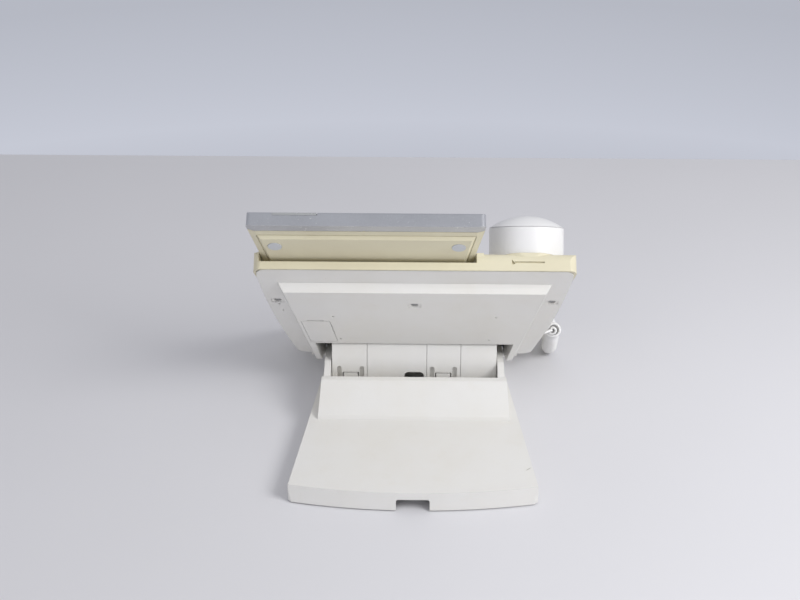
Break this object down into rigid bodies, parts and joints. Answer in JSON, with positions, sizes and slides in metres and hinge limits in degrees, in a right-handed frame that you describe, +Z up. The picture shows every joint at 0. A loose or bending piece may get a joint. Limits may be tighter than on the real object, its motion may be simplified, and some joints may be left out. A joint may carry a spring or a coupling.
{
  "type": "desk telephone",
  "caption": "Corded desk telephone seen from behind: wedge console tilting on a neck drum and base plate, folding silver-framed display, arched handset with a curly cord.",
  "frame": {"origin": "centre of the object's footprint on the table, handset cord left out", "axes": "+Z up, -Y towards the user, +X to the user's right, so the handset is at -X"},
  "size_m": [0.2826, 0.317, 0.2229],
  "materials": {
    "white_shell": "fine satin moulding, slightly warm white",
    "cream_shell": "fine satin moulding, aged cream",
    "silver_paint": "silver-grey paint with small worn specks",
    "rubber_dark": "matt",
    "pad_grey": "matt",
    "zinc_steel": "zinc plated",
    "bush_nylon": "smooth",
    "board_green": "solder resist",
    "mat_silicone": "matt",
    "black_plastic": "fine grain",
    "clear_window": "clear",
    "lcd_glass": "grey-green reflective",
    "lamp_plastic": "translucent, unlit",
    "cord_white": "smooth, slightly glossy",
    "clear_plug": "clear",
    "key_light": "satin",
    "key_grey": "satin"
  },
  "bodies": {
    "base": {"base_shell": "white_shell", "ballast_plate": "zinc_steel", "rubber_feet": "rubber_dark", "base_screws": "zinc_steel", "neck_drum": "white_shell", "latch_right": "white_shell", "latch_left": "white_shell", "tilt_pins": "zinc_steel"},
    "console": {"tilt_bushes": "bush_nylon", "front_casing": "cream_shell", "rear_cover": "white_shell", "port_door": "white_shell", "cover_screws": "zinc_steel", "main_board": "board_green", "keypad_mat": "mat_silicone", "loudspeaker": "black_plastic", "microphone": "black_plastic", "handset_jack": "black_plastic", "line_jack": "black_plastic", "hook_switch": "black_plastic", "hinge_pins": "zinc_steel", "handset_cord": "cord_white", "plug_console": "clear_plug"},
    "display": {"display_bezel": "silver_paint", "display_housing": "cream_shell", "screen_window": "clear_window", "lcd_panel": "lcd_glass", "display_board": "board_green", "lamp_lens": "lamp_plastic", "bumper_pads": "pad_grey"},
    "handset": {"handset_back": "white_shell", "handset_front": "white_shell", "receiver": "black_plastic", "handset_mic": "black_plastic", "handset_weight": "zinc_steel", "handset_socket": "black_plastic", "plug_handset": "clear_plug"},
    "hook": {"hook_plunger": "white_shell"},
    "dial_1": {"dial_1": "key_light"},
    "dial_2": {"dial_2": "key_light"},
    "dial_3": {"dial_3": "key_light"},
    "dial_4": {"dial_4": "key_light"},
    "dial_5": {"dial_5": "key_light"},
    "dial_6": {"dial_6": "key_light"},
    "dial_7": {"dial_7": "key_light"},
    "dial_8": {"dial_8": "key_light"},
    "dial_9": {"dial_9": "key_light"},
    "dial_star": {"dial_star": "key_light"},
    "dial_0": {"dial_0": "key_light"},
    "dial_hash": {"dial_hash": "key_light"},
    "soft_1": {"soft_1": "key_grey"},
    "soft_2": {"soft_2": "key_grey"},
    "soft_3": {"soft_3": "key_grey"},
    "soft_4": {"soft_4": "key_grey"},
    "nav_key": {"nav_key": "key_grey"},
    "volume_down": {"volume_down": "key_grey"},
    "volume_up": {"volume_up": "key_grey"}
  },
  "joints": [
    {"name": "console_tilt", "type": "hinge", "parent": "base", "child": "console", "pos_m": [0, -0.0675, 0.031], "axis": [-1, 0, 0], "range_deg": [0, 20]},
    {"name": "display_tilt", "type": "hinge", "parent": "console", "child": "display", "pos_m": [0.04, -0.00268, 0.16143], "axis": [1, 0, 0], "range_deg": [-6, 30]},
    {"name": "handset_lift", "type": "slide", "parent": "console", "child": "handset", "axis": [0, -0.7431, 0.6691], "range_m": [0, 0.06]},
    {"name": "hook_travel", "type": "slide", "parent": "console", "child": "hook", "axis": [0, -0.5225, 0.8526], "range_m": [0, 0.003]},
    {"name": "dial_1_press", "type": "slide", "parent": "console", "child": "dial_1", "axis": [0, 0.7431, -0.6691], "range_m": [0, 0.0015], "stiffness_N_per_m": 300},
    {"name": "dial_2_press", "type": "slide", "parent": "console", "child": "dial_2", "axis": [0, 0.7431, -0.6691], "range_m": [0, 0.0015], "stiffness_N_per_m": 300},
    {"name": "dial_3_press", "type": "slide", "parent": "console", "child": "dial_3", "axis": [0, 0.7431, -0.6691], "range_m": [0, 0.0015], "stiffness_N_per_m": 300},
    {"name": "dial_4_press", "type": "slide", "parent": "console", "child": "dial_4", "axis": [0, 0.7431, -0.6691], "range_m": [0, 0.0015], "stiffness_N_per_m": 300},
    {"name": "dial_5_press", "type": "slide", "parent": "console", "child": "dial_5", "axis": [0, 0.7431, -0.6691], "range_m": [0, 0.0015], "stiffness_N_per_m": 300},
    {"name": "dial_6_press", "type": "slide", "parent": "console", "child": "dial_6", "axis": [0, 0.7431, -0.6691], "range_m": [0, 0.0015], "stiffness_N_per_m": 300},
    {"name": "dial_7_press", "type": "slide", "parent": "console", "child": "dial_7", "axis": [0, 0.7431, -0.6691], "range_m": [0, 0.0015], "stiffness_N_per_m": 300},
    {"name": "dial_8_press", "type": "slide", "parent": "console", "child": "dial_8", "axis": [0, 0.7431, -0.6691], "range_m": [0, 0.0015], "stiffness_N_per_m": 300},
    {"name": "dial_9_press", "type": "slide", "parent": "console", "child": "dial_9", "axis": [0, 0.7431, -0.6691], "range_m": [0, 0.0015], "stiffness_N_per_m": 300},
    {"name": "dial_star_press", "type": "slide", "parent": "console", "child": "dial_star", "axis": [0, 0.7431, -0.6691], "range_m": [0, 0.0015], "stiffness_N_per_m": 300},
    {"name": "dial_0_press", "type": "slide", "parent": "console", "child": "dial_0", "axis": [0, 0.7431, -0.6691], "range_m": [0, 0.0015], "stiffness_N_per_m": 300},
    {"name": "dial_hash_press", "type": "slide", "parent": "console", "child": "dial_hash", "axis": [0, 0.7431, -0.6691], "range_m": [0, 0.0015], "stiffness_N_per_m": 300},
    {"name": "soft_1_press", "type": "slide", "parent": "console", "child": "soft_1", "axis": [0, 0.7431, -0.6691], "range_m": [0, 0.0015], "stiffness_N_per_m": 300},
    {"name": "soft_2_press", "type": "slide", "parent": "console", "child": "soft_2", "axis": [0, 0.7431, -0.6691], "range_m": [0, 0.0015], "stiffness_N_per_m": 300},
    {"name": "soft_3_press", "type": "slide", "parent": "console", "child": "soft_3", "axis": [0, 0.7431, -0.6691], "range_m": [0, 0.0015], "stiffness_N_per_m": 300},
    {"name": "soft_4_press", "type": "slide", "parent": "console", "child": "soft_4", "axis": [0, 0.7431, -0.6691], "range_m": [0, 0.0015], "stiffness_N_per_m": 300},
    {"name": "nav_key_press", "type": "slide", "parent": "console", "child": "nav_key", "axis": [0, 0.7431, -0.6691], "range_m": [0, 0.0015], "stiffness_N_per_m": 300},
    {"name": "volume_down_press", "type": "slide", "parent": "console", "child": "volume_down", "axis": [0, 0.7431, -0.6691], "range_m": [0, 0.0015], "stiffness_N_per_m": 300},
    {"name": "volume_up_press", "type": "slide", "parent": "console", "child": "volume_up", "axis": [0, 0.7431, -0.6691], "range_m": [0, 0.0015], "stiffness_N_per_m": 300}
  ],
  "couplings": [
    {"joint": "hook_travel", "follows": "handset_lift", "ratio": 0.05}
  ]
}
